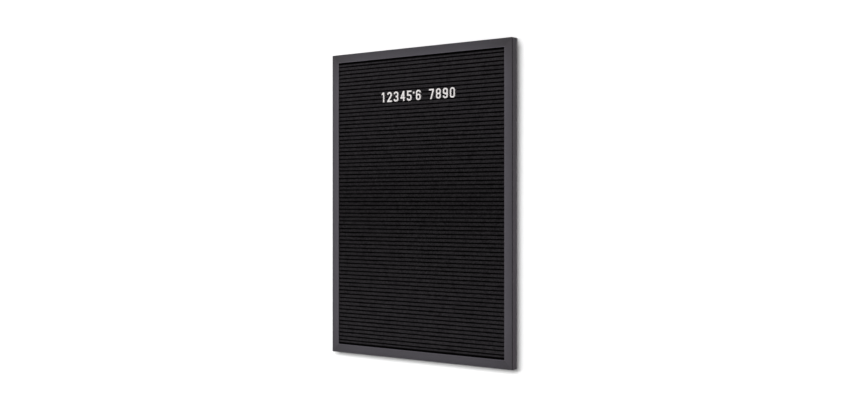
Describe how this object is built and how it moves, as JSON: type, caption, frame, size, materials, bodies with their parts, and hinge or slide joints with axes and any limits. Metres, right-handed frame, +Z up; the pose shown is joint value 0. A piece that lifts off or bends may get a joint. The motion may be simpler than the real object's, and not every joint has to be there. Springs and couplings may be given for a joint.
{
  "type": "letter board",
  "caption": "Wall letter board: mitred dark metal frame round a black felt panel with horizontal grooves that hold a row of white push-in digits.",
  "frame": {"origin": "on the wall plane, midway between the round entries of the two keyholes that the board hangs by", "axes": "+Z up, +X to the right seen from the front, +Y from the board into the wall, so the felt faces -Y"},
  "size_m": [0.44, 0.017, 0.62],
  "materials": {
    "frame": "satin",
    "felt": "matte",
    "panel_plastic": "matte",
    "hardboard": "matte",
    "spring_steel": "satin",
    "zinc_plate": "satin",
    "screw_steel": "satin",
    "white_plastic": "satin"
  },
  "bodies": {
    "board": {"top_rail": "frame", "bottom_rail": "frame", "left_stile": "frame", "right_stile": "frame", "felt_cover": "felt", "groove_panel": "panel_plastic", "back_panel": "hardboard", "spring_clips": "spring_steel", "corner_key_tl": "zinc_plate", "corner_key_tr": "zinc_plate", "corner_key_bl": "zinc_plate", "corner_key_br": "zinc_plate", "hanger_left": "zinc_plate", "hanger_right": "zinc_plate", "hanger_nuts": "zinc_plate", "corner_screws": "screw_steel", "hanger_screws": "screw_steel"},
    "digit_1": {"digit_1": "white_plastic"},
    "digit_2": {"digit_2": "white_plastic"},
    "digit_3": {"digit_3": "white_plastic"},
    "digit_4": {"digit_4": "white_plastic"},
    "digit_5": {"digit_5": "white_plastic"},
    "raised_point": {"raised_point": "white_plastic"},
    "digit_6": {"digit_6": "white_plastic"},
    "digit_7": {"digit_7": "white_plastic"},
    "digit_8": {"digit_8": "white_plastic"},
    "digit_9": {"digit_9": "white_plastic"},
    "digit_0": {"digit_0": "white_plastic"}
  },
  "joints": [
    {"name": "digit_1_pull", "type": "slide", "parent": "board", "child": "digit_1", "axis": [0, -1, 0], "range_m": [0, 0.04]},
    {"name": "digit_2_pull", "type": "slide", "parent": "board", "child": "digit_2", "axis": [0, -1, 0], "range_m": [0, 0.04]},
    {"name": "digit_3_pull", "type": "slide", "parent": "board", "child": "digit_3", "axis": [0, -1, 0], "range_m": [0, 0.04]},
    {"name": "digit_4_pull", "type": "slide", "parent": "board", "child": "digit_4", "axis": [0, -1, 0], "range_m": [0, 0.04]},
    {"name": "digit_5_pull", "type": "slide", "parent": "board", "child": "digit_5", "axis": [0, -1, 0], "range_m": [0, 0.04]},
    {"name": "raised_point_pull", "type": "slide", "parent": "board", "child": "raised_point", "axis": [0, -1, 0], "range_m": [0, 0.04]},
    {"name": "digit_6_pull", "type": "slide", "parent": "board", "child": "digit_6", "axis": [0, -1, 0], "range_m": [0, 0.04]},
    {"name": "digit_7_pull", "type": "slide", "parent": "board", "child": "digit_7", "axis": [0, -1, 0], "range_m": [0, 0.04]},
    {"name": "digit_8_pull", "type": "slide", "parent": "board", "child": "digit_8", "axis": [0, -1, 0], "range_m": [0, 0.04]},
    {"name": "digit_9_pull", "type": "slide", "parent": "board", "child": "digit_9", "axis": [0, -1, 0], "range_m": [0, 0.04]},
    {"name": "digit_0_pull", "type": "slide", "parent": "board", "child": "digit_0", "axis": [0, -1, 0], "range_m": [0, 0.04]}
  ]
}
